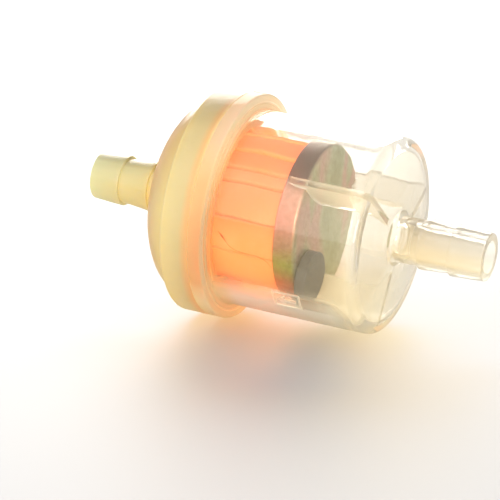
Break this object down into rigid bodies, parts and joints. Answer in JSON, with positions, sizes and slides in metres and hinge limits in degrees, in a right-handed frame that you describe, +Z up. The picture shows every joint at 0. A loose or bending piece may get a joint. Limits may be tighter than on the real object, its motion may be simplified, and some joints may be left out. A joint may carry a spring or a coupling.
{
  "type": "inline fuel filter",
  "caption": "Inline fuel filter: domed translucent cap and clear bowl with barbed spigots, holding a pleated paper element with a steel end plate and a disc magnet.",
  "frame": {"origin": "centre of the bounding box, on the flow axis", "axes": "+X along the flow axis, out of the clear bowl's inlet spigot; +Z up as the filter lies; the magnet sits low, on the -Y side"},
  "size_m": [0.058, 0.0312, 0.0312],
  "materials": {
    "milky_plastic": "milky yellow moulded plastic, satin",
    "clear_plastic": "clear moulded plastic, slightly yellow, glossy",
    "filter_paper": "resin treated pleated filter paper",
    "adhesive": "cured potting adhesive",
    "ring_plastic": "natural moulded plastic",
    "zinc_steel": "yellow zinc passivated pressed steel",
    "ferrite": "sintered ferrite magnet, dark grey"
  },
  "bodies": {
    "housing": {"outlet_cap": "milky_plastic", "inlet_bowl": "clear_plastic", "filter_paper": "filter_paper", "paper_seam_glue": "adhesive", "steel_end_plate": "zinc_steel", "closed_end_adhesive": "adhesive", "open_end_ring": "ring_plastic", "open_end_adhesive": "adhesive"},
    "magnet_disc": {"magnet": "ferrite"}
  },
  "joints": [
    {"name": "magnet_slide", "type": "slide", "parent": "housing", "child": "magnet_disc", "axis": [0, 0.7071, 0.7071], "range_m": [0, 0.012]}
  ]
}
